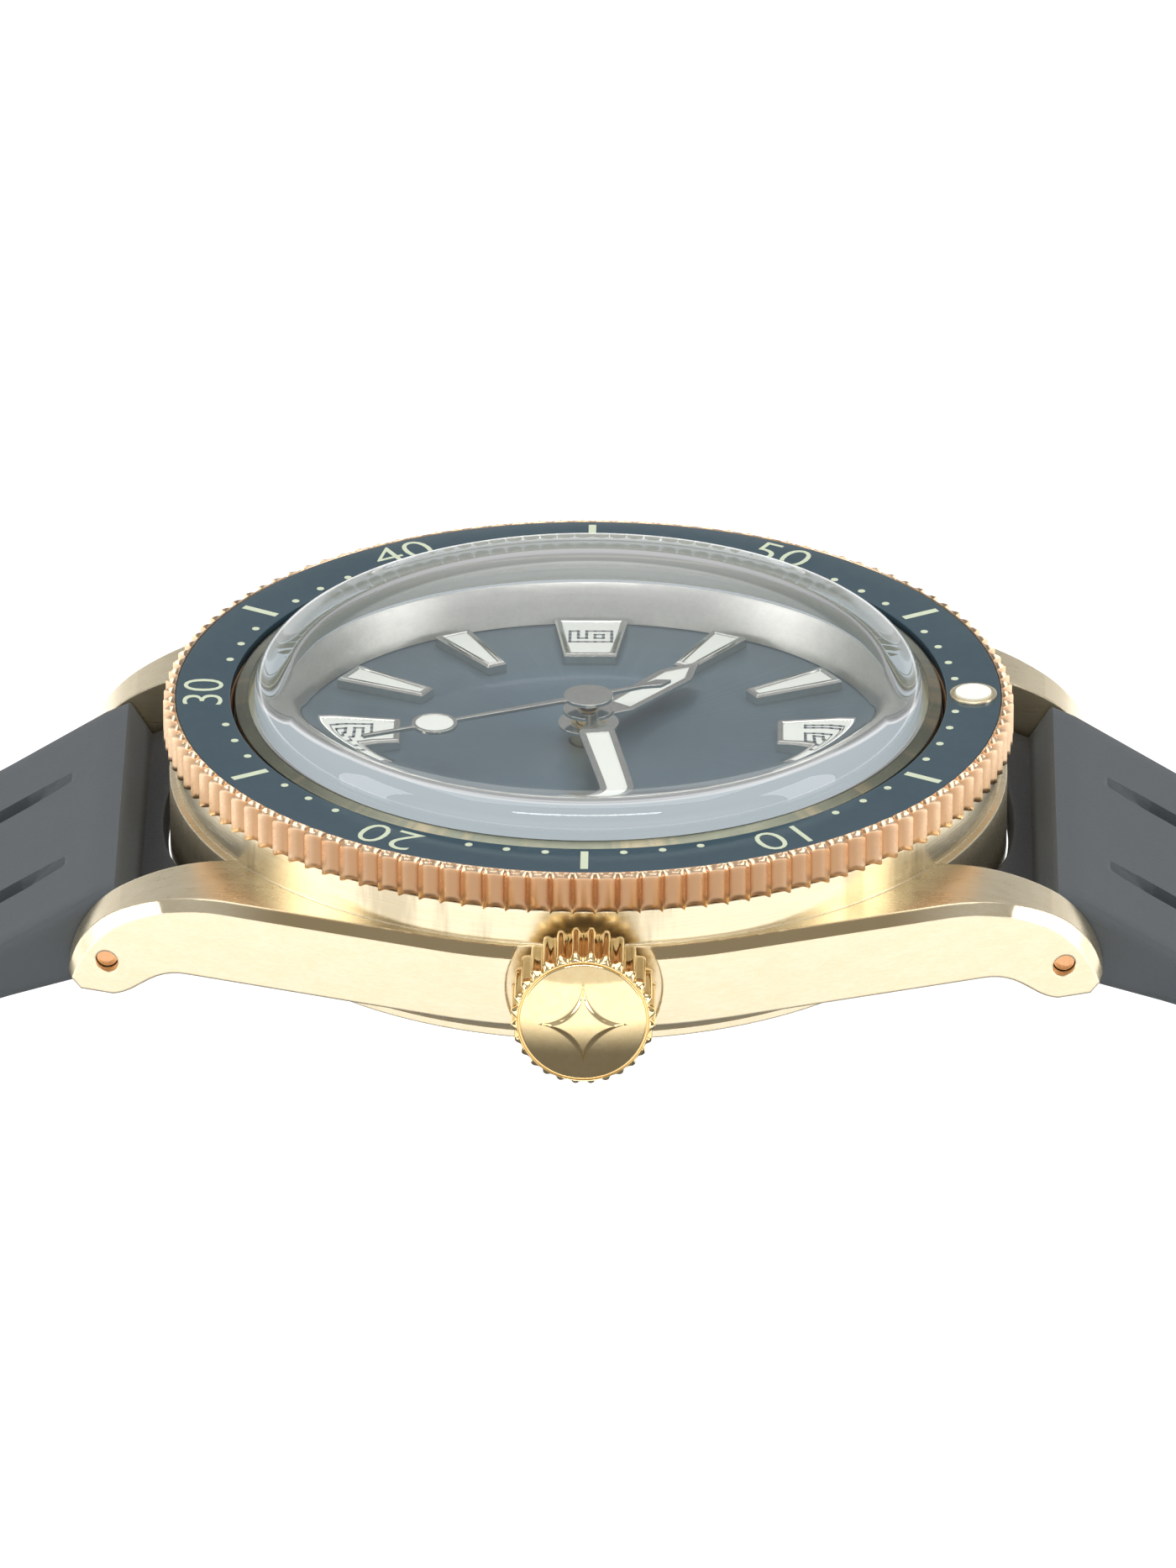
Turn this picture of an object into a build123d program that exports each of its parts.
"""Dive watch: case, turning bezel, box crystal, dial, hands, self-winding movement, rubber strap.

Frame: +Z out of the dial, +Y to 12 o'clock, +X to the crown at 3 o'clock.
The origin is the centre of the case back's outer face, on the axis of the hands. Millimetres.
"""
from build123d import *
from math import atan2, cos, degrees, hypot, pi, radians, sin
import os

os.makedirs("parts", exist_ok=True)

# ---- Driving dimensions -------------------------------------------------------------------
BEZEL_R = 19.0            # over the ridges of the coin edge
FLANK_R = 19.2            # brushed flank at the crown
FLANK_SPREAD = 20.0       # the flank is round over this angle each side of the crown, then straight
LUG_GAP = 20.0            # strap width between the lugs
LUG_TIP_Y = 22.9
BODY_R = 18.75            # round body between the lugs
BAND_R = 18.45            # brushed band under the bezel
NECK_R = 15.8             # the bezel turns on this neck
CRYSTAL_SEAT_R = 15.2
CHAMBER_R = 13.7          # the movement and the dial go in here from the back
THREAD_R = 14.55          # case back thread

BACK_Z = 0.8              # under face of the case, on the case back's flange
FLANK_LOW_Z = 2.4
FLANK_TOP_Z = 6.05
BAND_TOP_Z = 7.7
NECK_TOP_Z = 9.6
DIAL_Z = 6.0              # top of the dial
DIAL_T = 0.4
REHAUT_TOP_Z = 7.7
CRYSTAL_TOP_Z = 12.1

LUG_CHAMFER = 0.45
LUG_PIN_Y, LUG_PIN_Z = 21.16, 2.38
LUG_PIN_HOLE_R = 0.5

CROWN_Z = 4.2             # height of the winding stem
CROWN_R = 3.135
CROWN_X0, CROWN_X1 = 19.2, 22.2
CROWN_FLUTES = 28

COIN_NOTCHES = 120
COIN_NOTCH_R = 0.3
RUN = 0.1                 # running gap of the bezel

MINUTE_NOW, SECOND_NOW = 13, 26   # the watch shows thirteen minutes and 26 seconds past ten
SECONDS_ANGLE = SECOND_NOW * 6
MINUTE_ANGLE = (MINUTE_NOW + SECOND_NOW / 60) * 6
HOUR_ANGLE = 300 + MINUTE_ANGLE / 12

# Centres of the movement's arbors, seen from the dial side
BARREL = (0.0, 5.95)
THIRD = (-5.07, -1.85)
ESCAPE = (1.78, -4.89)
BALANCE = (4.23, -7.95)
CROWN_WHEEL = (5.95, 0.0)
MINUTE_WHEEL = (-1.70, 1.70)


# ---- Helpers --------------------------------------------------------------------------------
def save(builder, label):
    """Name the finished piece and write its STEP file."""
    builder.part.label = label
    export_step(builder.part, f"parts/{label}.step")


def clock(angle, radius, side=0.0):
    """Point at a clockwise angle from 12 and a radius, stepped sideways to the right."""
    turn = radians(angle)
    return (radius * sin(turn) + side * cos(turn), radius * cos(turn) - side * sin(turn))


def bearing(start, end):
    """Direction from one centre to another, in degrees anticlockwise from +X."""
    return degrees(atan2(end[1] - start[1], end[0] - start[0]))


def gear_outline(centre, teeth, module, tooth_at, slim=0.42):
    """Corners of a straight-flanked gear with one tooth centred on the direction tooth_at."""
    pitch = 2 * pi / teeth
    pitch_r = module * teeth / 2
    root_r, tip_r = pitch_r - 1.15 * module, pitch_r + 0.8 * module
    corners = []
    for tooth in range(teeth):
        middle = radians(tooth_at) + tooth * pitch
        for radius, offset in ((root_r, -0.3), (tip_r, -slim / 4), (tip_r, slim / 4), (root_r, 0.3)):
            turn = middle + offset * pitch
            corners.append((centre[0] + radius * cos(turn), centre[1] + radius * sin(turn)))
    return corners


def gap_at(teeth, direction):
    """Tooth direction that leaves a gap, not a tooth, facing the given direction."""
    return direction + 180 / teeth


def spiral_band(centre, inner_r, outer_r, turns, thickness, steps=26):
    """Corners of a flat spiral spring's section, out along one side and back along the other."""
    count = int(turns * steps)
    sides = []
    for offset in (thickness / 2, -thickness / 2):
        side = []
        for step in range(count + 1):
            turn = 2 * pi * step / steps
            radius = inner_r + (outer_r - inner_r) * step / count + offset
            side.append((centre[0] + radius * cos(turn), centre[1] + radius * sin(turn)))
        sides.append(side)
    return sides[0] + sides[1][::-1]


def hand_outline(angle, half_widths):
    """Corners of a hand that is symmetrical about its clock angle: (radius, half width) pairs."""
    right = [clock(angle, radius, half) for radius, half in half_widths]
    left = [clock(angle, radius, -half) for radius, half in reversed(half_widths) if half > 0]
    return right + left


# ---- Case ---------------------------------------------------------------------------------
spread = radians(FLANK_SPREAD)
FLANK_END = (FLANK_R * cos(spread), FLANK_R * sin(spread))
PLAN_END_Y = LUG_TIP_Y + 1    # the plan runs past the tips, which the side outline shapes
PLAN_END_X = FLANK_END[0] - (PLAN_END_Y - FLANK_END[1]) * sin(spread) / cos(spread)
LUG_FALL_Y = 15.6         # the lug's top starts to fall here
LUG_TOE_Y, LUG_TOE_Z = 22.35, 0.85    # lowest corner of the lug's tip
LUG_TIP_Z = 1.45          # the tip's rounding ends here


def outer_top(edge):
    """True for the edges between the lugs' tops and the outer flanks."""
    middle = edge @ 0.5
    upright = abs((edge % 0.5).Z) > 0.99
    return abs(middle.X) > LUG_GAP / 2 + 1 and middle.Z > FLANK_LOW_Z + 0.2 and not upright


with BuildPart() as case_middle:
    with BuildSketch():
        with BuildLine():
            for side in (1, -1):
                ThreePointArc((side * FLANK_END[0], -FLANK_END[1]), (side * FLANK_R, 0),
                              (side * FLANK_END[0], FLANK_END[1]))
                for end in (1, -1):
                    Line((side * FLANK_END[0], end * FLANK_END[1]), (side * PLAN_END_X, end * PLAN_END_Y))
            for end in (1, -1):
                Line((-PLAN_END_X, end * PLAN_END_Y), (PLAN_END_X, end * PLAN_END_Y))
        make_face()
    extrude(amount=FLANK_TOP_Z)
    with BuildSketch(Plane.YZ):
        with BuildLine():
            for end in (1, -1):
                Line((0, FLANK_TOP_Z), (end * LUG_FALL_Y, FLANK_TOP_Z))
                shoulder = ThreePointArc((end * LUG_FALL_Y, FLANK_TOP_Z), (end * 18.3, 5.72),
                                         (end * 20.6, 4.8))
                TangentArc(shoulder @ 1, (end * LUG_TIP_Y, LUG_TIP_Z), tangent=shoulder % 1)
                Line((end * LUG_TIP_Y, LUG_TIP_Z), (end * LUG_TOE_Y, LUG_TOE_Z))
                Line((end * LUG_TOE_Y, LUG_TOE_Z), (end * 20.9, LUG_TOE_Z))
                Spline((end * 20.9, LUG_TOE_Z), (end * 19.6, 1.6), (end * 17.6, FLANK_LOW_Z),
                       tangents=((-end, 0.25), (-end, 0)))
                Line((end * 17.6, FLANK_LOW_Z), (0, FLANK_LOW_Z))
        make_face()
    extrude(amount=25, both=True, mode=Mode.INTERSECT)
    chamfer(case_middle.edges().filter_by(outer_top), LUG_CHAMFER)
    # the strap's room between each pair of lugs
    for end in (1, -1):
        with Locations((0, end * 20, 4)):
            Box(LUG_GAP, 12, 10, mode=Mode.SUBTRACT)
    # round body, the band under the bezel and the neck that the bezel turns on
    with BuildSketch(Plane.XZ):
        Polygon((CHAMBER_R, BACK_Z), (16.5, BACK_Z), (BODY_R, FLANK_LOW_Z), (BODY_R, FLANK_TOP_Z - 0.05),
                (BAND_R, FLANK_TOP_Z), (BAND_R, BAND_TOP_Z), (NECK_R, BAND_TOP_Z), (NECK_R, 9.45),
                (CRYSTAL_SEAT_R, NECK_TOP_Z), (CRYSTAL_SEAT_R, DIAL_Z), (CHAMBER_R, DIAL_Z), align=None)
    revolve(axis=Axis.Z)
    Cylinder(CHAMBER_R, DIAL_Z, align=(Align.CENTER, Align.CENTER, Align.MIN), mode=Mode.SUBTRACT)
    with Locations((0, 0, DIAL_Z)):
        Cylinder(CRYSTAL_SEAT_R, 2, align=(Align.CENTER, Align.CENTER, Align.MIN), mode=Mode.SUBTRACT)
    Cylinder(THREAD_R, 2.0, align=(Align.CENTER, Align.CENTER, Align.MIN), mode=Mode.SUBTRACT)
    # grooves of the bezel gasket, the click spring and the case back gasket
    for low, high, inner, outer in ((8.35, 8.75, 15.5, NECK_R + 0.2), (7.3, 7.8, 16.2, 17.9),
                                    (0.6, 1.1, 14.75, 15.35)):
        with BuildSketch(Plane.XY.offset(low)):
            Circle(outer)
            Circle(inner, mode=Mode.SUBTRACT)
        extrude(amount=high - low, mode=Mode.SUBTRACT)
    # spring bar holes, drilled through both lugs
    with BuildSketch(Plane.YZ.offset(-20)):
        with Locations((LUG_PIN_Y, LUG_PIN_Z), (-LUG_PIN_Y, LUG_PIN_Z)):
            Circle(LUG_PIN_HOLE_R)
    extrude(amount=40, mode=Mode.SUBTRACT)
    # crown tube hole, and the crown's recess in the flank
    with BuildSketch(Plane.YZ.offset(12)):
        with Locations((0, CROWN_Z)):
            Circle(1.5)
    extrude(amount=10, mode=Mode.SUBTRACT)
    with BuildSketch(Plane.YZ.offset(18.5)):
        with Locations((0, CROWN_Z)):
            Circle(3.45)
    extrude(amount=4, mode=Mode.SUBTRACT)
save(case_middle, "case_middle")

with BuildPart() as case_back:
    with BuildSketch(Plane.XZ):
        Polygon((0, 0), (15.5, 0), (16.35, 0.4), (16.35, BACK_Z), (14.5, BACK_Z), (14.5, 1.9),
                (13.9, 1.9), (13.9, BACK_Z), (0, BACK_Z), align=None)
    revolve(axis=Axis.Z)
    with BuildSketch():
        with PolarLocations(15.6, 6):
            Rectangle(1.8, 2.2)
    extrude(amount=0.45, mode=Mode.SUBTRACT)
save(case_back, "case_back")

with BuildPart() as case_back_gasket:
    with BuildSketch(Plane.XY.offset(BACK_Z)):
        Circle(15.35)
        Circle(14.75, mode=Mode.SUBTRACT)
    extrude(amount=0.3)
save(case_back_gasket, "case_back_gasket")

with BuildPart() as crown_tube:
    with BuildSketch(Plane.YZ.offset(13.75)):
        with Locations((0, CROWN_Z)):
            Circle(1.5)
            Circle(0.72, mode=Mode.SUBTRACT)
    extrude(amount=6.5)
save(crown_tube, "crown_tube")

with BuildPart() as rehaut_ring:
    with BuildSketch(Plane.XZ):
        Polygon((13.2, DIAL_Z), (CRYSTAL_SEAT_R, DIAL_Z), (CRYSTAL_SEAT_R, REHAUT_TOP_Z),
                (13.9, REHAUT_TOP_Z), align=None)
    revolve(axis=Axis.Z)
save(rehaut_ring, "rehaut_ring")

# ---- Crystal ------------------------------------------------------------------------------
CRYSTAL_R = 14.95
CRYSTAL_WALL_Z = 9.7      # the upright wall ends here and the shoulder begins
CRYSTAL_UNDER_Z = 9.9     # top of the hollow below the dome
CRYSTAL_INNER_R = 13.75   # foot of the wall, inside

with BuildPart() as crystal:
    with BuildSketch(Plane.XZ):
        with BuildLine():
            Line((0, CRYSTAL_UNDER_Z), (0, CRYSTAL_TOP_Z))
            dome = TangentArc((0, CRYSTAL_TOP_Z), (13.3, 11.25), tangent=(1, 0))
            shoulder = TangentArc(dome @ 1, (CRYSTAL_R, CRYSTAL_WALL_Z), tangent=dome % 1)
            Polyline(shoulder @ 1, (CRYSTAL_R, REHAUT_TOP_Z), (CRYSTAL_INNER_R, REHAUT_TOP_Z))
            under = TangentArc((0, CRYSTAL_UNDER_Z), (13.0, 8.9), tangent=(1, 0))
            inner_shoulder = TangentArc(under @ 1, (13.42, 8.54), tangent=under % 1)
            Line(inner_shoulder @ 1, (CRYSTAL_INNER_R, REHAUT_TOP_Z))
        make_face()
    revolve(axis=Axis.Z)
save(crystal, "crystal")

with BuildPart() as crystal_gasket:
    with BuildSketch(Plane.XY.offset(REHAUT_TOP_Z)):
        Circle(CRYSTAL_SEAT_R)
        Circle(CRYSTAL_R, mode=Mode.SUBTRACT)
    extrude(amount=1.1)
save(crystal_gasket, "crystal_gasket")

# ---- Bezel --------------------------------------------------------------------------------
BEZEL_BORE_R = NECK_R + RUN
BEZEL_LOW_Z = BAND_TOP_Z + 0.05
INSERT_Z = 9.6
INSERT_T = 0.5
INSERT_R = 18.45
PIP = (0, 17.2)
PIP_R = 1.05

with BuildPart() as bezel_ring:
    with BuildSketch(Plane.XZ):
        Polygon((BEZEL_BORE_R, BEZEL_LOW_Z), (BEZEL_R, BEZEL_LOW_Z), (BEZEL_R, 9.2), (18.6, INSERT_Z),
                (INSERT_R, INSERT_Z), (INSERT_R, INSERT_Z - INSERT_T),
                (BEZEL_BORE_R, INSERT_Z - INSERT_T), align=None)
    revolve(axis=Axis.Z)
    with BuildSketch(Plane.XY.offset(BEZEL_LOW_Z)):
        with PolarLocations(BEZEL_R - 0.05, COIN_NOTCHES):
            Circle(COIN_NOTCH_R)
    extrude(amount=1.5, mode=Mode.SUBTRACT)
save(bezel_ring, "bezel_ring")

with BuildPart() as bezel_insert:
    with BuildSketch(Plane.XY.offset(INSERT_Z - INSERT_T)):
        Circle(INSERT_R)
        Circle(16.0, mode=Mode.SUBTRACT)
        with Locations(PIP):
            Circle(PIP_R, mode=Mode.SUBTRACT)
    extrude(amount=INSERT_T)
save(bezel_insert, "bezel_insert")

with BuildPart() as bezel_pip_cup:
    with Locations((PIP[0], PIP[1], INSERT_Z - INSERT_T)):
        Cylinder(PIP_R, INSERT_T + 0.12, align=(Align.CENTER, Align.CENTER, Align.MIN))
        with Locations((0, 0, 0.2)):
            Cylinder(0.8, 1, align=(Align.CENTER, Align.CENTER, Align.MIN), mode=Mode.SUBTRACT)
save(bezel_pip_cup, "bezel_pip_cup")

with BuildPart() as bezel_pip_lume:
    with Locations((PIP[0], PIP[1], INSERT_Z - INSERT_T + 0.2)):
        Cylinder(0.8, 0.5, align=(Align.CENTER, Align.CENTER, Align.MIN))
save(bezel_pip_lume, "bezel_pip_lume")

with BuildPart() as bezel_click_spring:
    with BuildSketch(Plane.XY.offset(7.32)):
        Circle(17.7)
        Circle(16.4, mode=Mode.SUBTRACT)
        with PolarLocations(17.05, 3):
            Rectangle(0.5, 2.6, mode=Mode.SUBTRACT)
    extrude(amount=0.25)
    with BuildSketch(Plane.XY.offset(7.32)):
        with PolarLocations(16.6, 3):
            Rectangle(0.4, 2.6)
    extrude(amount=0.25)
save(bezel_click_spring, "bezel_click_spring")

with BuildPart() as bezel_gasket:
    with BuildSketch(Plane.XY.offset(8.35)):
        Circle(NECK_R + 0.05)
        Circle(15.5, mode=Mode.SUBTRACT)
    extrude(amount=0.4)
save(bezel_gasket, "bezel_gasket")

# ---- Crown and keyless works --------------------------------------------------------------
STEM_R = 0.6
STEM_INNER_X = 5.7

with BuildPart() as crown:
    with BuildSketch(Plane.YZ.offset(CROWN_X0)):
        with Locations((0, CROWN_Z)):
            Circle(CROWN_R)
            with PolarLocations(CROWN_R + 0.08, CROWN_FLUTES):
                Circle(0.26, mode=Mode.SUBTRACT)
    extrude(amount=CROWN_X1 - CROWN_X0)
    # polished face: a shallow dome on the outer end, its edge rounded inside the flutes
    with BuildSketch(Plane.XZ):
        with BuildLine():
            Line((CROWN_X1 - 0.25, CROWN_Z), (CROWN_X1 + 0.5, CROWN_Z))
            dome = TangentArc((CROWN_X1 + 0.5, CROWN_Z), (CROWN_X1 + 0.15, CROWN_Z + 2.75),
                              tangent=(0, 1))
            Polyline(dome @ 1, (CROWN_X1, CROWN_Z + 2.85), (CROWN_X1 - 0.25, CROWN_Z + 2.85),
                     (CROWN_X1 - 0.25, CROWN_Z))
        make_face()
    revolve(axis=Axis((0, 0, CROWN_Z), (1, 0, 0)))
    # hollow that covers the crown tube
    with BuildSketch(Plane.YZ.offset(CROWN_X0 - 1)):
        with Locations((0, CROWN_Z)):
            Circle(1.9)
    extrude(amount=2.6, mode=Mode.SUBTRACT)
save(crown, "crown")

with BuildPart() as crown_gasket:
    with BuildSketch(Plane.YZ.offset(CROWN_X0 + 0.3)):
        with Locations((0, CROWN_Z)):
            Circle(1.9)
            Circle(1.56, mode=Mode.SUBTRACT)
    extrude(amount=0.4)
save(crown_gasket, "crown_gasket")

with BuildPart() as winding_stem:
    with BuildSketch(Plane.YZ.offset(STEM_INNER_X)):
        with Locations((0, CROWN_Z)):
            Circle(0.4)
    extrude(amount=3.6)
    with BuildSketch(Plane.YZ.offset(STEM_INNER_X + 3.6)):
        with Locations((0, CROWN_Z)):
            Circle(STEM_R)
    extrude(amount=CROWN_X0 + 1.6 - STEM_INNER_X - 3.6)
save(winding_stem, "winding_stem")

WINDING_PINION_X = 6.5
WINDING_TEETH, WINDING_MODULE = 12, 0.16

with BuildPart() as winding_pinion:
    with BuildSketch(Plane.YZ.offset(WINDING_PINION_X)):
        with BuildLine():
            Polyline(*gear_outline((0, CROWN_Z), WINDING_TEETH, WINDING_MODULE, 90), close=True)
        make_face()
        with Locations((0, CROWN_Z)):
            Circle(0.43, mode=Mode.SUBTRACT)
    extrude(amount=0.6)
save(winding_pinion, "winding_pinion")

with BuildPart() as sliding_pinion:
    with BuildSketch(Plane.YZ.offset(8.0)):
        with Locations((0, CROWN_Z)):
            Circle(0.85)
            Circle(0.43, mode=Mode.SUBTRACT)
            with PolarLocations(0.85, 10):
                Circle(0.12, mode=Mode.SUBTRACT)
    extrude(amount=0.9)
save(sliding_pinion, "sliding_pinion")

RATCHET_TEETH, CROWN_WHEEL_TEETH = 36, 28
RATCHET_DISTANCE = hypot(CROWN_WHEEL[0] - BARREL[0], CROWN_WHEEL[1] - BARREL[1])
RATCHET_MODULE = 2 * RATCHET_DISTANCE / (RATCHET_TEETH + CROWN_WHEEL_TEETH)
WINDING_Z, WINDING_T = 1.6, 0.3
CONTRATE_TEETH = 10
to_crown_wheel = bearing(BARREL, CROWN_WHEEL)

with BuildPart() as ratchet_wheel:
    with BuildSketch(Plane.XY.offset(WINDING_Z)):
        with BuildLine():
            Polyline(*gear_outline(BARREL, RATCHET_TEETH, RATCHET_MODULE, to_crown_wheel, 0.36),
                     close=True)
        make_face()
        with Locations(BARREL):
            Circle(0.9, mode=Mode.SUBTRACT)
    extrude(amount=WINDING_T)
save(ratchet_wheel, "ratchet_wheel")

with BuildPart() as crown_wheel:
    with BuildSketch(Plane.XY.offset(WINDING_Z)):
        with BuildLine():
            Polyline(*gear_outline(CROWN_WHEEL, CROWN_WHEEL_TEETH, RATCHET_MODULE,
                                   gap_at(CROWN_WHEEL_TEETH, to_crown_wheel + 180), 0.36), close=True)
        make_face()
    extrude(amount=WINDING_T)
    with BuildSketch(Plane.XY.offset(WINDING_Z + WINDING_T)):
        with Locations(CROWN_WHEEL):
            Circle(1.0)
    extrude(amount=1.16)
    with BuildSketch(Plane.XY.offset(3.06)):
        with Locations(CROWN_WHEEL):
            with PolarLocations(0.8, CONTRATE_TEETH, start_angle=18):
                Rectangle(0.34, 0.2)
    extrude(amount=0.12)
save(crown_wheel, "crown_wheel")

# ---- Movement plates ------------------------------------------------------------------------
PLATE_R = 12.7
PLATE_Z0, PLATE_Z1 = 3.9, 5.1
BRIDGE_Z0, BRIDGE_Z1 = 1.95, 2.45
BARREL_R = 4.9
ROTOR_POST_R, ROTOR_POST_Z = 0.6, 0.92
PILLARS = ((9.3, 6.3), (-10.3, 4.6), (-5.5, -9.8))
COCK_FOOT = (10.15, -4.73)
ARBOR_R, PIVOT_R, JEWEL_R = 0.2, 0.1, 0.45
ESCAPE_LINE = bearing(ESCAPE, BALANCE)
PALLET_OUT = 2.45
PALLET = (ESCAPE[0] + PALLET_OUT * cos(radians(ESCAPE_LINE)),
          ESCAPE[1] + PALLET_OUT * sin(radians(ESCAPE_LINE)))
PALLET_FOOT = (PALLET[0] + 2.6 * cos(radians(ESCAPE_LINE + 90)),
               PALLET[1] + 2.6 * sin(radians(ESCAPE_LINE + 90)))

with BuildPart() as movement_holder:
    with BuildSketch(Plane.XY.offset(2.1)):
        Circle(CHAMBER_R - 0.05)
        Circle(PLATE_R + 0.05, mode=Mode.SUBTRACT)
    extrude(amount=3.4)
    with BuildSketch(Plane.YZ.offset(12)):
        with Locations((0, CROWN_Z)):
            Circle(0.9)
    extrude(amount=3, mode=Mode.SUBTRACT)
save(movement_holder, "movement_holder")

with BuildPart() as main_plate:
    with BuildSketch(Plane.XY.offset(PLATE_Z0)):
        Circle(PLATE_R)
    extrude(amount=PLATE_Z1 - PLATE_Z0)
    with BuildSketch(Plane.XY.offset(PLATE_Z0)):
        with Locations(BARREL):
            Circle(BARREL_R + 0.55)
        Circle(1.0)
    extrude(amount=1.05, mode=Mode.SUBTRACT)
    with BuildSketch(Plane.XY.offset(PLATE_Z0)):
        Circle(0.42)
        with Locations((9.15, 0)):
            Rectangle(7.5, 2.8)
    extrude(amount=PLATE_Z1 - PLATE_Z0, mode=Mode.SUBTRACT)
    with BuildSketch(Plane.XY.offset(PLATE_Z0)):
        with Locations(THIRD, ESCAPE, PALLET, BALANCE):
            Circle(PIVOT_R + 0.02)
    extrude(amount=0.5, mode=Mode.SUBTRACT)
    # pillars that carry the train bridge, and the stud of the minute wheel on the dial side
    with BuildSketch(Plane.XY.offset(BRIDGE_Z1)):
        with Locations(*PILLARS):
            Circle(0.9)
    extrude(amount=PLATE_Z0 - BRIDGE_Z1)
    with BuildSketch(Plane.XY.offset(PLATE_Z1)):
        with Locations(MINUTE_WHEEL):
            Circle(0.2)
    extrude(amount=0.42)
save(main_plate, "main_plate")

COCK_REACH = hypot(COCK_FOOT[0] - BALANCE[0], COCK_FOOT[1] - BALANCE[1])
COCK_MIDDLE = ((COCK_FOOT[0] + BALANCE[0]) / 2, (COCK_FOOT[1] + BALANCE[1]) / 2)
COCK_Z = 1.65
SCREW_HEAD_R, SCREW_HEAD_T = 0.75, 0.25

with BuildPart() as train_bridge:
    with BuildSketch(Plane.XY.offset(BRIDGE_Z0)):
        Circle(12.4)
        with Locations(BALANCE):
            Circle(3.9, mode=Mode.SUBTRACT)
        with Locations(COCK_FOOT):
            Circle(2.4, mode=Mode.SUBTRACT)
        with Locations(COCK_MIDDLE):
            Rectangle(COCK_REACH, 2.0, rotation=bearing(BALANCE, COCK_FOOT), mode=Mode.SUBTRACT)
        with Locations(CROWN_WHEEL):
            Circle(1.08, mode=Mode.SUBTRACT)
        with Locations(BARREL):
            Circle(1.0, mode=Mode.SUBTRACT)
        with Locations(THIRD, ESCAPE):
            Circle(JEWEL_R, mode=Mode.SUBTRACT)
        Circle(0.2, mode=Mode.SUBTRACT)
    extrude(amount=BRIDGE_Z1 - BRIDGE_Z0)
    with BuildSketch(Plane.XY.offset(BRIDGE_Z0)):
        with Locations(*PILLARS):
            Circle(SCREW_HEAD_R + 0.03)
    extrude(amount=SCREW_HEAD_T, mode=Mode.SUBTRACT)
    # post that the rotor turns on
    with Locations((0, 0, ROTOR_POST_Z)):
        Cylinder(ROTOR_POST_R, BRIDGE_Z0 - ROTOR_POST_Z, align=(Align.CENTER, Align.CENTER, Align.MIN))
save(train_bridge, "train_bridge")

with BuildPart() as balance_cock:
    with BuildSketch(Plane.XY.offset(COCK_Z)):
        with Locations(COCK_MIDDLE):
            Rectangle(COCK_REACH, 1.6, rotation=bearing(BALANCE, COCK_FOOT))
        with Locations(BALANCE):
            Circle(1.1)
        with Locations(COCK_FOOT):
            Circle(1.3)
        with Locations(BALANCE):
            Circle(JEWEL_R, mode=Mode.SUBTRACT)
    extrude(amount=0.4)
    with BuildSketch(Plane.XY.offset(COCK_Z + 0.4)):
        with Locations(COCK_FOOT):
            Circle(1.2)
    extrude(amount=PLATE_Z0 - COCK_Z - 0.4)
    with BuildSketch(Plane.XY.offset(COCK_Z)):
        with Locations(COCK_FOOT):
            Circle(SCREW_HEAD_R + 0.03)
    extrude(amount=SCREW_HEAD_T, mode=Mode.SUBTRACT)
save(balance_cock, "balance_cock")

with BuildPart() as pallet_bridge:
    with BuildSketch(Plane.XY.offset(2.72)):
        with Locations(((PALLET[0] + PALLET_FOOT[0]) / 2, (PALLET[1] + PALLET_FOOT[1]) / 2)):
            Rectangle(2.6, 0.9, rotation=ESCAPE_LINE + 90)
        with Locations(PALLET, PALLET_FOOT):
            Circle(0.5)
        with Locations(PALLET):
            Circle(PIVOT_R + 0.02, mode=Mode.SUBTRACT)
    extrude(amount=0.2)
    with BuildSketch(Plane.XY.offset(2.92)):
        with Locations(PALLET_FOOT):
            Circle(0.5)
    extrude(amount=PLATE_Z0 - 2.92)
save(pallet_bridge, "pallet_bridge")

with BuildPart() as jewels:
    for place, low in ((THIRD, BRIDGE_Z0), (ESCAPE, BRIDGE_Z0), (BALANCE, COCK_Z)):
        with BuildSketch(Plane.XY.offset(low)):
            with Locations(place):
                Circle(JEWEL_R)
                Circle(PIVOT_R + 0.02, mode=Mode.SUBTRACT)
        extrude(amount=0.25)
save(jewels, "jewels")

with BuildPart() as movement_screws:
    for place, low in (*((pillar, BRIDGE_Z0) for pillar in PILLARS), (COCK_FOOT, COCK_Z)):
        with BuildSketch(Plane.XY.offset(low)):
            with Locations(place):
                Circle(SCREW_HEAD_R)
        extrude(amount=SCREW_HEAD_T)
        with BuildSketch(Plane.XY.offset(low)):
            with Locations(place):
                Rectangle(1.6, 0.2)
        extrude(amount=0.12, mode=Mode.SUBTRACT)
save(movement_screws, "movement_screws")

# ---- Barrel ---------------------------------------------------------------------------------
CENTRE = (0.0, 0.0)
BARREL_TEETH, CENTRE_PINION_TEETH, BARREL_MODULE = 75, 10, 0.14
to_barrel = bearing(CENTRE, BARREL)

with BuildPart() as barrel_drum:
    with BuildSketch(Plane.XY.offset(3.95)):
        with BuildLine():
            Polyline(*gear_outline(BARREL, BARREL_TEETH, BARREL_MODULE, to_barrel + 180), close=True)
        make_face()
        with Locations(BARREL):
            Circle(0.75, mode=Mode.SUBTRACT)
    extrude(amount=0.2)
    with BuildSketch(Plane.XY.offset(4.15)):
        with Locations(BARREL):
            Circle(BARREL_R)
            Circle(BARREL_R - 0.3, mode=Mode.SUBTRACT)
    extrude(amount=0.6)
save(barrel_drum, "barrel_drum")

with BuildPart() as barrel_cover:
    with BuildSketch(Plane.XY.offset(4.75)):
        with Locations(BARREL):
            Circle(BARREL_R)
            Circle(0.75, mode=Mode.SUBTRACT)
    extrude(amount=0.13)
save(barrel_cover, "barrel_cover")

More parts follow.
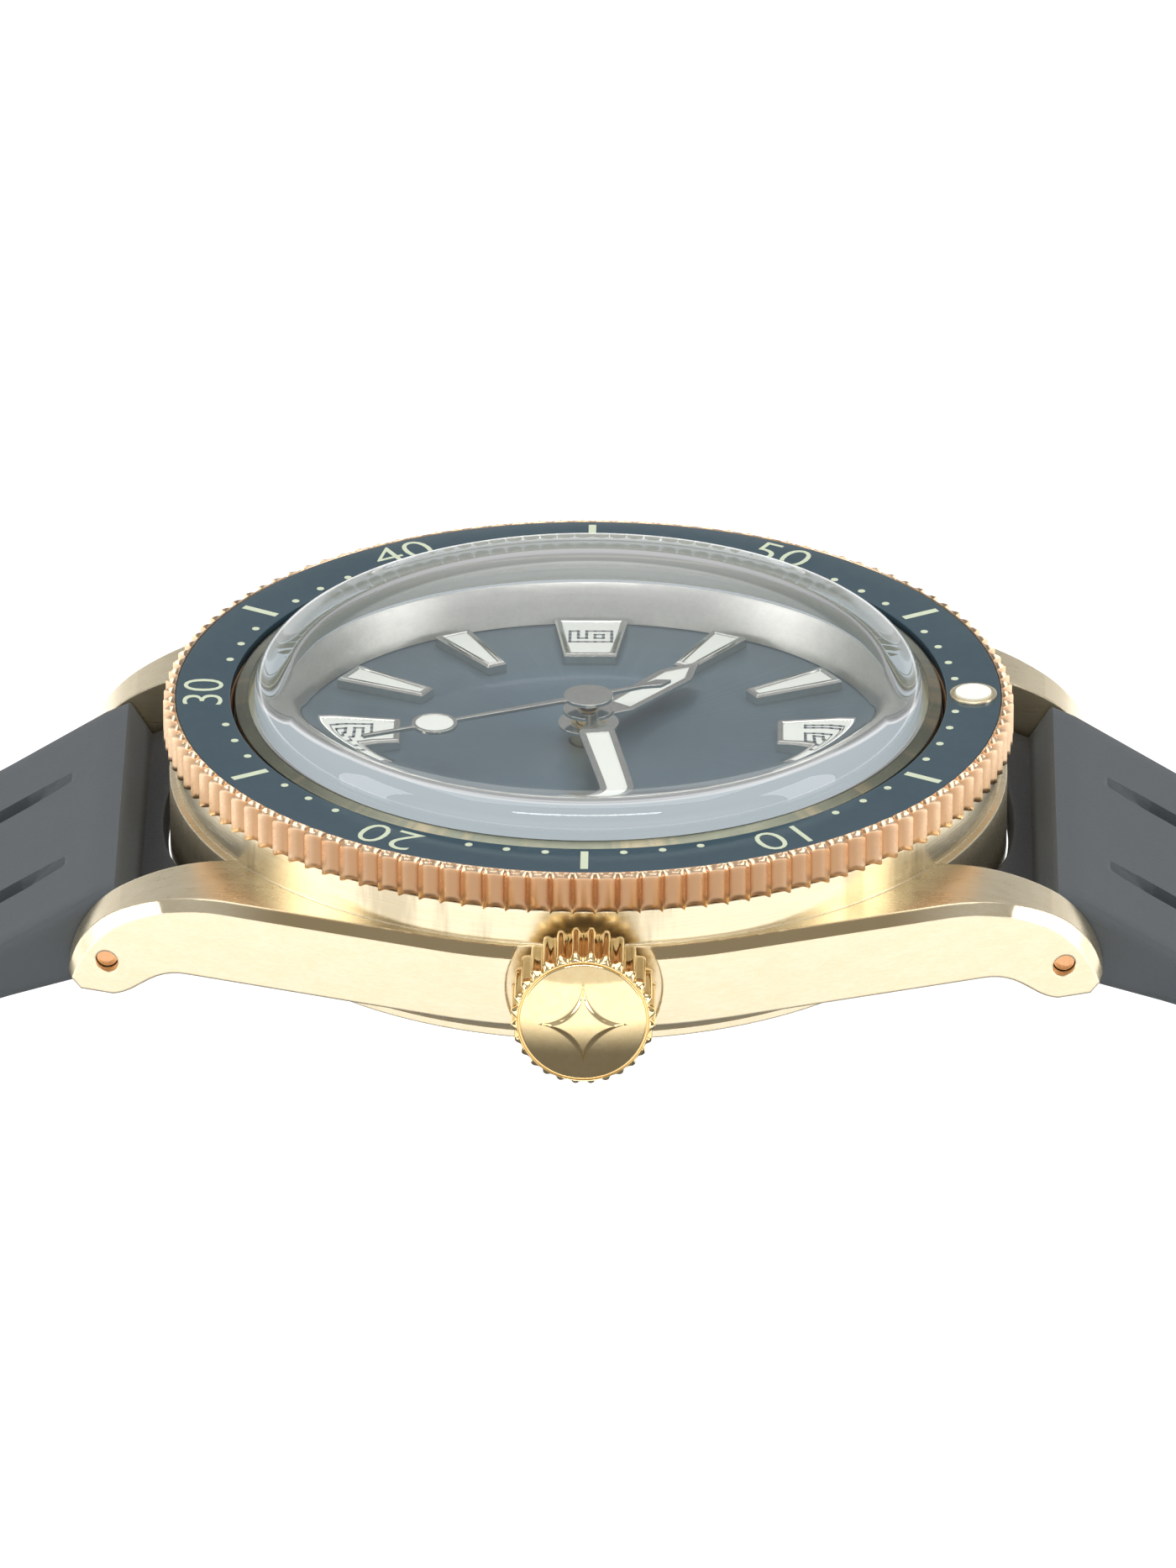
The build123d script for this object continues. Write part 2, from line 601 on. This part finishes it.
with BuildPart() as mainspring:
    with BuildSketch(Plane.XY.offset(4.2)):
        with BuildLine():
            Polyline(*spiral_band(BARREL, 1.3, 4.4, 7, 0.12), close=True)
        make_face()
    extrude(amount=0.5)
save(mainspring, "mainspring")

with BuildPart() as barrel_arbor:
    with BuildSketch(Plane.XY.offset(WINDING_Z)):
        with Locations(BARREL):
            Circle(0.9)
    extrude(amount=2.2)
    with BuildSketch(Plane.XY.offset(WINDING_Z + 2.2)):
        with Locations(BARREL):
            Circle(0.7)
    extrude(amount=1.12)
save(barrel_arbor, "barrel_arbor")

# ---- Going train ----------------------------------------------------------------------------
CENTRE_TEETH, THIRD_PINION_TEETH, CENTRE_MODULE = 80, 10, 0.12
THIRD_TEETH, FOURTH_PINION_TEETH = 75, 10
FOURTH_TEETH, ESCAPE_PINION_TEETH, FOURTH_MODULE = 72, 8, 0.13
THIRD_MODULE = 2 * hypot(*THIRD) / (THIRD_TEETH + FOURTH_PINION_TEETH)
to_third = bearing(CENTRE, THIRD)
to_escape = bearing(CENTRE, ESCAPE)


def wheel_face(corners, centre, rim_r, bore_r=0.0):
    """Face of a toothed wheel with a rim, four spokes and a hub."""
    with BuildSketch() as wheel:
        with BuildLine():
            Polyline(*corners, close=True)
        make_face()
        with Locations(centre):
            Circle(rim_r, mode=Mode.SUBTRACT)
            Circle(0.28 * rim_r)
            for turn in (20, 110):
                Rectangle(2 * rim_r + 0.1, 0.13 * rim_r, rotation=turn)
            if bore_r:
                Circle(bore_r, mode=Mode.SUBTRACT)
    return wheel.sketch


def pinion_face(corners, centre, bore_r=0.0):
    """Face of a pinion, solid or bored."""
    with BuildSketch() as pinion:
        with BuildLine():
            Polyline(*corners, close=True)
        make_face()
        if bore_r:
            with Locations(centre):
                Circle(bore_r, mode=Mode.SUBTRACT)
    return pinion.sketch


def turned(centre, steps):
    """Arbor of round steps: each is (low z, high z, radius)."""
    with BuildPart() as arbor:
        for low, high, radius in steps:
            with Locations((*centre, low)):
                Cylinder(radius, high - low, align=(Align.CENTER, Align.CENTER, Align.MIN))
    return arbor.part


centre_face = wheel_face(gear_outline(CENTRE, CENTRE_TEETH, CENTRE_MODULE, to_third), CENTRE, 4.2, 0.2)
centre_pinion_face = pinion_face(
    gear_outline(CENTRE, CENTRE_PINION_TEETH, BARREL_MODULE, gap_at(CENTRE_PINION_TEETH, to_barrel)),
    CENTRE, 0.2)
with BuildPart() as centre_wheel:
    with BuildSketch(Plane.XY.offset(3.5)):
        add(centre_face)
    extrude(amount=0.15)
    with BuildSketch(Plane.XY.offset(3.65)):
        add(centre_pinion_face)
    extrude(amount=0.55)
    with BuildSketch(Plane.XY.offset(4.2)):
        Circle(0.36)
        Circle(0.2, mode=Mode.SUBTRACT)
    extrude(amount=2.8)
save(centre_wheel, "centre_wheel")

third_face = wheel_face(
    gear_outline(THIRD, THIRD_TEETH, THIRD_MODULE, to_third + 180), THIRD, 4.2)
third_pinion_face = pinion_face(
    gear_outline(THIRD, THIRD_PINION_TEETH, CENTRE_MODULE,
                 gap_at(THIRD_PINION_TEETH, to_third + 180)), THIRD)
third_arbor = turned(THIRD, ((1.97, 4.3, PIVOT_R), (2.5, 3.85, ARBOR_R)))
with BuildPart() as third_wheel:
    add(third_arbor)
    with BuildSketch(Plane.XY.offset(3.05)):
        add(third_face)
    extrude(amount=0.15)
    with BuildSketch(Plane.XY.offset(3.2)):
        add(third_pinion_face)
    extrude(amount=0.55)
save(third_wheel, "third_wheel")

fourth_face = wheel_face(
    gear_outline(CENTRE, FOURTH_TEETH, FOURTH_MODULE, to_escape), CENTRE, 4.1)
fourth_pinion_face = pinion_face(
    gear_outline(CENTRE, FOURTH_PINION_TEETH, THIRD_MODULE, gap_at(FOURTH_PINION_TEETH, to_third)),
    CENTRE)
fourth_arbor = turned(CENTRE, ((1.97, 8.1, 0.17),))
with BuildPart() as fourth_wheel:
    add(fourth_arbor)
    with BuildSketch(Plane.XY.offset(2.55)):
        add(fourth_face)
    extrude(amount=0.15)
    with BuildSketch(Plane.XY.offset(2.7)):
        add(fourth_pinion_face)
    extrude(amount=0.65)
save(fourth_wheel, "fourth_wheel")

ESCAPE_TEETH, ESCAPE_TIP_R = 20, 2.0
escape_corners = []
for tooth in range(ESCAPE_TEETH):
    for radius, lead in ((1.55, 0.0), (ESCAPE_TIP_R, 0.42), (ESCAPE_TIP_R, 0.56), (1.55, 0.4)):
        turn = 2 * pi * (tooth + lead) / ESCAPE_TEETH
        escape_corners.append((ESCAPE[0] + radius * cos(turn), ESCAPE[1] + radius * sin(turn)))
escape_face = wheel_face(escape_corners, ESCAPE, 1.3)
escape_pinion_face = pinion_face(
    gear_outline(ESCAPE, ESCAPE_PINION_TEETH, FOURTH_MODULE,
                 gap_at(ESCAPE_PINION_TEETH, to_escape + 180)), ESCAPE)
escape_arbor = turned(ESCAPE, ((1.97, 4.3, PIVOT_R), (2.5, 3.85, ARBOR_R)))
with BuildPart() as escape_wheel:
    add(escape_arbor)
    with BuildSketch(Plane.XY.offset(3.05)):
        add(escape_face)
    extrude(amount=0.15)
    with BuildSketch(Plane.XY.offset(2.5)):
        add(escape_pinion_face)
    extrude(amount=0.3)
save(escape_wheel, "escape_wheel")

# ---- Escapement -----------------------------------------------------------------------------
def on_escape_line(along, across):
    """Point measured from the escape wheel's centre along the line to the balance."""
    turn = radians(ESCAPE_LINE)
    return (ESCAPE[0] + along * cos(turn) - across * sin(turn),
            ESCAPE[1] + along * sin(turn) + across * cos(turn))


pallet_arbor = turned(PALLET, ((2.75, 4.3, PIVOT_R), (2.95, 3.85, 0.16)))
with BuildPart() as pallet_fork:
    add(pallet_arbor)
    with BuildSketch(Plane.XY.offset(3.05)):
        with BuildLine():
            Polyline(*[on_escape_line(along, across) for along, across in (
                (2.3, 0.16), (1.85, 1.2), (1.98, 1.5), (2.2, 1.4), (2.65, 0.3), (3.3, 0.12), (3.45, 0.22),
                (3.62, 0.22), (3.62, 0.12), (3.42, 0.08), (3.42, -0.08), (3.62, -0.12), (3.62, -0.22),
                (3.45, -0.22), (3.3, -0.12), (2.65, -0.3), (2.2, -1.4), (1.98, -1.5), (1.85, -1.2),
                (2.3, -0.16))], close=True)
        make_face()
    extrude(amount=0.18)
save(pallet_fork, "pallet_fork")

BALANCE_R = 3.4
staff = turned(BALANCE, ((1.67, 4.3, PIVOT_R), (2.08, 3.85, 0.16), (2.3, 2.55, 0.5), (2.96, 3.26, 0.27)))
with BuildPart() as balance_wheel:
    add(staff)
    with BuildSketch(Plane.XY.offset(2.28)):
        with Locations(BALANCE):
            Circle(BALANCE_R)
            Circle(BALANCE_R - 0.45, mode=Mode.SUBTRACT)
    extrude(amount=0.3)
    with BuildSketch(Plane.XY.offset(2.36)):
        with Locations(BALANCE):
            for turn in (0, 60, 120):
                Rectangle(2 * BALANCE_R - 0.6, 0.35, rotation=turn)
    extrude(amount=0.14)
save(balance_wheel, "balance_wheel")

with BuildPart() as hairspring:
    with BuildSketch(Plane.XY.offset(2.12)):
        with BuildLine():
            Polyline(*spiral_band(BALANCE, 0.5, 2.0, 7, 0.05), close=True)
        make_face()
    extrude(amount=0.1)
save(hairspring, "hairspring")

# ---- Rotor ----------------------------------------------------------------------------------
with BuildPart() as rotor:
    with BuildSketch(Plane.XY.offset(0.98)):
        Circle(12.3)
        with Locations((0, 6.5)):
            Rectangle(26, 13, mode=Mode.SUBTRACT)
        Circle(3.0)
        Circle(9.3, mode=Mode.SUBTRACT)
        Circle(2.6)
        for turn in (-90, -38, -142):
            with Locations((5 * cos(radians(turn)), 5 * sin(radians(turn)))):
                Rectangle(10, 2.2, rotation=turn)
        Circle(ROTOR_POST_R + 0.06, mode=Mode.SUBTRACT)
    extrude(amount=0.32)
    with BuildSketch(Plane.XY.offset(1.3)):
        Circle(12.3)
        Circle(10.4, mode=Mode.SUBTRACT)
        with Locations((0, 6.5)):
            Rectangle(26, 13, mode=Mode.SUBTRACT)
    extrude(amount=0.25)
save(rotor, "rotor")

# ---- Motion works ---------------------------------------------------------------------------
CANNON_TEETH, MINUTE_WHEEL_TEETH = 12, 36
MINUTE_PINION_TEETH, HOUR_WHEEL_TEETH = 10, 40
MOTION_DISTANCE = hypot(*MINUTE_WHEEL)
CANNON_MODULE = 2 * MOTION_DISTANCE / (CANNON_TEETH + MINUTE_WHEEL_TEETH)
HOUR_MODULE = 2 * MOTION_DISTANCE / (MINUTE_PINION_TEETH + HOUR_WHEEL_TEETH)
to_minute_wheel = bearing(CENTRE, MINUTE_WHEEL)
HOUR_HAND_Z, MINUTE_HAND_Z, SECONDS_HAND_Z = 6.78, 7.45, 8.1
HAND_T = 0.15

cannon_face = pinion_face(
    gear_outline(CENTRE, CANNON_TEETH, CANNON_MODULE, gap_at(CANNON_TEETH, to_minute_wheel)),
    CENTRE, 0.38)
with BuildPart() as cannon_pinion:
    with BuildSketch(Plane.XY.offset(5.14)):
        add(cannon_face)
    extrude(amount=0.2)
    with BuildSketch(Plane.XY.offset(5.34)):
        Circle(0.5)
        Circle(0.38, mode=Mode.SUBTRACT)
    extrude(amount=MINUTE_HAND_Z + HAND_T - 5.34)
save(cannon_pinion, "cannon_pinion")

minute_wheel_face = pinion_face(
    gear_outline(MINUTE_WHEEL, MINUTE_WHEEL_TEETH, CANNON_MODULE, to_minute_wheel + 180),
    MINUTE_WHEEL, 0.24)
minute_pinion_face = pinion_face(
    gear_outline(MINUTE_WHEEL, MINUTE_PINION_TEETH, HOUR_MODULE,
                 gap_at(MINUTE_PINION_TEETH, to_minute_wheel + 180)), MINUTE_WHEEL, 0.24)
with BuildPart() as minute_wheel:
    with BuildSketch(Plane.XY.offset(5.15)):
        add(minute_wheel_face)
    extrude(amount=0.15)
    with BuildSketch(Plane.XY.offset(5.3)):
        add(minute_pinion_face)
    extrude(amount=0.22)
save(minute_wheel, "minute_wheel")

hour_wheel_face = pinion_face(
    gear_outline(CENTRE, HOUR_WHEEL_TEETH, HOUR_MODULE, to_minute_wheel), CENTRE, 0.55)
with BuildPart() as hour_wheel:
    with BuildSketch(Plane.XY.offset(5.37)):
        add(hour_wheel_face)
    extrude(amount=0.14)
    with BuildSketch(Plane.XY.offset(5.51)):
        Circle(0.8)
        Circle(0.55, mode=Mode.SUBTRACT)
    extrude(amount=HOUR_HAND_Z + HAND_T - 5.51)
save(hour_wheel, "hour_wheel")

# ---- Dial and markers -----------------------------------------------------------------------
with BuildPart() as dial:
    with BuildSketch(Plane.XY.offset(DIAL_Z - DIAL_T)):
        Circle(CHAMBER_R - 0.1)
        Circle(0.88, mode=Mode.SUBTRACT)
    extrude(amount=DIAL_T)
save(dial, "dial")

MARKER_T = 0.5
MARKER_FRAME = 0.3
MARKER_SINK = 0.06        # the markers' lume ends this far below their frame
BATON = (8.4, 12.6, 0.48, 0.9)        # inner radius, outer radius, inner and outer half width
QUARTER = (8.4, 12.6, 1.18, 1.68)


def marker_shape(hour):
    """The four quarter markers are wide, the others narrow."""
    return QUARTER if hour % 3 == 0 else BATON


with BuildPart() as hour_markers:
    for hour in range(12):
        inner_r, outer_r, inner_half, outer_half = marker_shape(hour)
        with BuildSketch(Plane.XY.offset(DIAL_Z)):
            with BuildLine():
                Polyline(*hand_outline(hour * 30, ((inner_r, inner_half), (outer_r, outer_half))),
                         close=True)
            make_face()
            with BuildLine():
                Polyline(*hand_outline(hour * 30, ((inner_r + MARKER_FRAME, inner_half - MARKER_FRAME),
                                                   (outer_r - MARKER_FRAME, outer_half - MARKER_FRAME))),
                         close=True)
            make_face(mode=Mode.SUBTRACT)
        extrude(amount=MARKER_T)
save(hour_markers, "hour_markers")

with BuildPart() as marker_lume:
    for hour in range(12):
        inner_r, outer_r, inner_half, outer_half = marker_shape(hour)
        with BuildSketch(Plane.XY.offset(DIAL_Z)):
            with BuildLine():
                Polyline(*hand_outline(hour * 30, ((inner_r + MARKER_FRAME, inner_half - MARKER_FRAME),
                                                   (outer_r - MARKER_FRAME, outer_half - MARKER_FRAME))),
                         close=True)
            make_face()
        extrude(amount=MARKER_T - MARKER_SINK)
save(marker_lume, "marker_lume")

# ---- Hands ----------------------------------------------------------------------------------
# each outline is a row of (radius, half width), and each window the lume's opening in it
HOUR_OUTLINE = ((0.6, 0.35), (1.5, 0.35), (2.3, 0.75), (6.5, 0.85), (8.2, 0.0))
HOUR_WINDOW = ((2.45, 0.48), (6.4, 0.56), (7.5, 0.0))
HOUR_HUB_R, MINUTE_HUB_R, SECONDS_HUB_R = 1.35, 1.13, 1.1
LUME_SINK = 0.03          # the hands' lume ends this far below their top
MINUTE_OUTLINE = ((0.6, 0.3), (1.4, 0.3), (2.4, 0.8), (9.2, 0.72), (10.8, 0.0))
MINUTE_WINDOW = ((2.6, 0.52), (9.1, 0.44), (10.2, 0.0))

with BuildPart() as hour_hand:
    with BuildSketch(Plane.XY.offset(HOUR_HAND_Z)):
        with BuildLine():
            Polyline(*hand_outline(HOUR_ANGLE, HOUR_OUTLINE), close=True)
        make_face()
        Circle(HOUR_HUB_R)
        with BuildLine():
            Polyline(*hand_outline(HOUR_ANGLE, HOUR_WINDOW), close=True)
        make_face(mode=Mode.SUBTRACT)
        Circle(0.8, mode=Mode.SUBTRACT)
    extrude(amount=HAND_T)
save(hour_hand, "hour_hand")

with BuildPart() as hour_hand_lume:
    with BuildSketch(Plane.XY.offset(HOUR_HAND_Z)):
        with BuildLine():
            Polyline(*hand_outline(HOUR_ANGLE, HOUR_WINDOW), close=True)
        make_face()
    extrude(amount=HAND_T - LUME_SINK)
save(hour_hand_lume, "hour_hand_lume")

with BuildPart() as minute_hand:
    with BuildSketch(Plane.XY.offset(MINUTE_HAND_Z)):
        with BuildLine():
            Polyline(*hand_outline(MINUTE_ANGLE, MINUTE_OUTLINE), close=True)
        make_face()
        Circle(MINUTE_HUB_R)
        with BuildLine():
            Polyline(*hand_outline(MINUTE_ANGLE, MINUTE_WINDOW), close=True)
        make_face(mode=Mode.SUBTRACT)
        Circle(0.5, mode=Mode.SUBTRACT)
    extrude(amount=HAND_T)
save(minute_hand, "minute_hand")

with BuildPart() as minute_hand_lume:
    with BuildSketch(Plane.XY.offset(MINUTE_HAND_Z)):
        with BuildLine():
            Polyline(*hand_outline(MINUTE_ANGLE, MINUTE_WINDOW), close=True)
        make_face()
    extrude(amount=HAND_T - LUME_SINK)
save(minute_hand_lume, "minute_hand_lume")

LOLLIPOP_OUT, LOLLIPOP_R, LOLLIPOP_RIM = 7.4, 1.0, 0.16
SECONDS_PIPE = 0.35       # the seconds hand's short pipe, which grips the fourth wheel's pivot

with BuildPart() as seconds_hand:
    with BuildSketch(Plane.XY.offset(SECONDS_HAND_Z)):
        with BuildLine():
            Polyline(*hand_outline(SECONDS_ANGLE, ((-4.0, 0.0), (-3.4, 0.3), (-2.6, 0.1), (0, 0.16),
                                                   (10.8, 0.08))), close=True)
        make_face()
        Circle(SECONDS_HUB_R)
        with Locations(clock(SECONDS_ANGLE, LOLLIPOP_OUT)):
            Circle(LOLLIPOP_R)
            Circle(LOLLIPOP_R - LOLLIPOP_RIM, mode=Mode.SUBTRACT)
    extrude(amount=HAND_T)
    with BuildSketch(Plane.XY.offset(SECONDS_HAND_Z - SECONDS_PIPE)):
        Circle(0.4)
        Circle(0.17, mode=Mode.SUBTRACT)
    extrude(amount=SECONDS_PIPE)
save(seconds_hand, "seconds_hand")

with BuildPart() as seconds_hand_lume:
    with Locations((*clock(SECONDS_ANGLE, LOLLIPOP_OUT), SECONDS_HAND_Z)):
        Cylinder(LOLLIPOP_R - LOLLIPOP_RIM, HAND_T - LUME_SINK, align=(Align.CENTER, Align.CENTER, Align.MIN))
save(seconds_hand_lume, "seconds_hand_lume")

# ---- Spring bars ----------------------------------------------------------------------------
BAR_R, BAR_TIP_R = 0.75, 0.46
TUBE_LENGTH = LUG_GAP - 0.8

with BuildPart() as spring_bar_tubes:
    with BuildSketch(Plane.YZ.offset(-TUBE_LENGTH / 2)):
        with Locations((LUG_PIN_Y, LUG_PIN_Z), (-LUG_PIN_Y, LUG_PIN_Z)):
            Circle(BAR_R)
            Circle(BAR_TIP_R, mode=Mode.SUBTRACT)
    extrude(amount=TUBE_LENGTH)
save(spring_bar_tubes, "spring_bar_tubes")

with BuildPart() as spring_bar_tips:
    for side in (1, -1):
        with BuildSketch(Plane.YZ.offset(side * (TUBE_LENGTH / 2 - 2))):
            with Locations((LUG_PIN_Y, LUG_PIN_Z), (-LUG_PIN_Y, LUG_PIN_Z)):
                Circle(BAR_TIP_R)
        extrude(amount=side * 4.6)
save(spring_bar_tips, "spring_bar_tips")

# ---- Strap ----------------------------------------------------------------------------------
STRAP_FALL = 24.0         # slope at the lugs
STRAP_FIRST = 6.0         # straight stretch at the lugs
STRAP_BEND_R = 26.0       # moulded bend round the side of the wrist
STRAP_TAIL_R = 110.0      # gentle curve of the rest
STRAP_T = 2.2
STRAP_KNUCKLE_R = 2.0
STRAP_END_T, STRAP_END_REACH, STRAP_END_GAP = 2.4, 3.96, 0.45   # the tongues beside the case
BUCKLE_HALF, HOLE_HALF = 75.0, 115.0
STRAP_HALF_W = LUG_GAP / 2 - 0.1
STRAP_END_HALF_W = 8.0
TAPER_Z0, TAPER_Z1 = -4.0, -34.0   # the strap narrows between these heights
BUCKLE_BAR_R = 0.7


def strap_line(length):
    """Centre line of one strap half in the YZ plane on the +Y side, from the spring bar."""
    fall = radians(STRAP_FALL)
    pin = Vector(0, LUG_PIN_Y, LUG_PIN_Z)
    along = Vector(0, cos(fall), -sin(fall))
    bend = 90 - STRAP_FALL
    tail = degrees((length - STRAP_FIRST - radians(bend) * STRAP_BEND_R) / STRAP_TAIL_R)
    first = Line(pin, pin + along * STRAP_FIRST, mode=Mode.PRIVATE)
    bend_centre = first @ 1 + Vector(0, -sin(fall), -cos(fall)) * STRAP_BEND_R
    bend_end = bend_centre + Vector(0, STRAP_BEND_R, 0)
    half = radians(STRAP_FALL + (90 - STRAP_FALL) / 2)
    bend_middle = bend_centre + Vector(0, sin(half), cos(half)) * STRAP_BEND_R
    tail_centre = bend_end - Vector(0, STRAP_TAIL_R, 0)
    tail_points = [tail_centre + Vector(0, cos(radians(turn)), -sin(radians(turn))) * STRAP_TAIL_R
                   for turn in (tail / 2, tail)]
    second = ThreePointArc(first @ 1, bend_middle, bend_end, mode=Mode.PRIVATE)
    third = ThreePointArc(bend_end, *tail_points, mode=Mode.PRIVATE)
    return Wire([first.edge(), second.edge(), third.edge()])


def strap_plane(line, at, length):
    """Plane on the strap at a distance from the spring bar: x across, y along, z outwards."""
    place = line.position_at(at / length)
    along = line.tangent_at(at / length)
    return Plane(origin=place, x_dir=(1, 0, 0), z_dir=Vector(1, 0, 0).cross(along))


def strap_half(length, knuckle_at_end):
    """One strap half on the +Y side, plain, with its spring bar hole."""
    line = strap_line(length)
    fall = radians(STRAP_FALL)
    pin = Vector(LUG_PIN_Y, LUG_PIN_Z)
    along = Vector(cos(fall), -sin(fall))
    up = Vector(sin(fall), cos(fall))
    edges = line.edges()
    with BuildPart() as half:
        with BuildSketch(Plane.YZ) as side:
            for edge in edges:
                flat = [side.workplanes[0].to_local_coords(edge @ t) for t in (0, 0.5, 1)]
                with BuildLine() as path:
                    if edge.geom_type == GeomType.LINE:
                        Line(flat[0], flat[2])
                    else:
                        ThreePointArc(*flat)
                trace(path.line, STRAP_T)
            with Locations(pin):
                Circle(STRAP_KNUCKLE_R)
            wedge = (pin + up * 1.8, pin + along * STRAP_FIRST + up * STRAP_T / 2,
                     pin + along * STRAP_FIRST - up * STRAP_T / 2, pin - up * 1.8)
            with BuildLine():
                Polyline(*wedge, close=True)
            make_face()
            end = side.workplanes[0].to_local_coords(line @ 1)
            if knuckle_at_end:
                with Locations(end):
                    Circle(1.5)
                    Circle(BUCKLE_BAR_R + 0.08, mode=Mode.SUBTRACT)
        extrude(amount=STRAP_HALF_W, both=True)
        # the end at the case is hollowed to follow it, and thin enough to swing clear of it
        with BuildSketch(Plane.XY.offset(LUG_PIN_Z - STRAP_END_T / 2)):
            with Locations((0, LUG_PIN_Y - STRAP_END_REACH / 2)):
                Rectangle(2 * STRAP_HALF_W, STRAP_END_REACH)
            Circle(BODY_R + STRAP_END_GAP, mode=Mode.SUBTRACT)
        extrude(amount=STRAP_END_T)
        with BuildSketch(Plane.YZ):
            with Locations(pin):
                Circle(BAR_R + 0.08)
        extrude(amount=STRAP_HALF_W, both=True, mode=Mode.SUBTRACT)
        # the strap narrows towards its end
        with BuildSketch(Plane.XZ):
            Polygon((-STRAP_HALF_W, 10), (STRAP_HALF_W, 10), (STRAP_HALF_W, TAPER_Z0),
                    (STRAP_END_HALF_W, TAPER_Z1), (STRAP_END_HALF_W, -110), (-STRAP_END_HALF_W, -110),
                    (-STRAP_END_HALF_W, TAPER_Z1), (-STRAP_HALF_W, TAPER_Z0), align=None)
        extrude(amount=60, both=True, mode=Mode.INTERSECT)
    return half.part, line


buckle_half, buckle_line = strap_half(BUCKLE_HALF, True)
hole_half, hole_line = strap_half(HOLE_HALF, False)
END = strap_plane(buckle_line, BUCKLE_HALF, BUCKLE_HALF)
BAR = Plane(origin=END.origin, x_dir=END.y_dir, z_dir=(1, 0, 0))

with BuildPart() as strap_12:
    add(buckle_half)
    # slot for the tongue's knuckle
    with BuildSketch(END.offset(-4)):
        with Locations((0, 0.6)):
            Rectangle(2.6, 6.5)
    extrude(amount=8, mode=Mode.SUBTRACT)
save(strap_12, "strap_12")

with BuildPart() as strap_6:
    add(hole_half)
    for hole in range(7):
        with BuildSketch(strap_plane(hole_line, HOLE_HALF - 22 - 6.5 * hole, HOLE_HALF).offset(-4)):
            SlotOverall(3.0, 1.9, rotation=90)
        extrude(amount=8, mode=Mode.SUBTRACT)
    mirror(about=Plane.XZ, mode=Mode.REPLACE)
save(strap_6, "strap_6")

with BuildPart() as fixed_keeper:
    with BuildSketch(strap_plane(buckle_line, BUCKLE_HALF - 9, BUCKLE_HALF).rotated((90, 0, 0))):
        with Locations((0, 1.2)):
            Rectangle(2 * STRAP_END_HALF_W + 3.6, 7.6)
            Rectangle(2 * STRAP_END_HALF_W + 1.2, 5.4, mode=Mode.SUBTRACT)
    extrude(amount=2, both=True)
save(fixed_keeper, "fixed_keeper")

with BuildPart() as free_keeper:
    with BuildSketch(strap_plane(buckle_line, BUCKLE_HALF - 22, BUCKLE_HALF).rotated((90, 0, 0))):
        with Locations((0, 1.2)):
            Rectangle(2 * STRAP_END_HALF_W + 4.0, 7.6)
            Rectangle(2 * STRAP_END_HALF_W + 1.6, 5.4, mode=Mode.SUBTRACT)
    extrude(amount=2.2, both=True)
save(free_keeper, "free_keeper")

# ---- Buckle ---------------------------------------------------------------------------------
BUCKLE_IN_W, BUCKLE_OUT_W = 16.6, 20.4

with BuildPart() as buckle_bar:
    with BuildSketch(BAR.offset(-BUCKLE_OUT_W / 2 + 0.4)):
        Circle(BUCKLE_BAR_R)
    extrude(amount=BUCKLE_OUT_W - 0.8)
save(buckle_bar, "buckle_bar")

with BuildPart() as buckle_frame:
    with BuildSketch(END.offset(-1.2)):
        with Locations((0, 3.6)):
            Rectangle(BUCKLE_OUT_W, 11.6)
            Rectangle(BUCKLE_IN_W, 20, mode=Mode.SUBTRACT)
        with Locations((0, 8.6)):
            Rectangle(BUCKLE_OUT_W, 2.4)
    extrude(amount=2.4)
    with BuildSketch(BAR.offset(-12)):
        Circle(BUCKLE_BAR_R)
    extrude(amount=24, mode=Mode.SUBTRACT)
save(buckle_frame, "buckle_frame")

with BuildPart() as buckle_tongue:
    with BuildSketch(BAR.offset(-1.0)):
        Circle(1.45)
        Circle(BUCKLE_BAR_R + 0.08, mode=Mode.SUBTRACT)
    extrude(amount=2.0)
    with BuildSketch(END.offset(1.3)):
        with Locations((0, 5.3)):
            Rectangle(1.6, 9.4)
    extrude(amount=0.9)
save(buckle_tongue, "buckle_tongue")
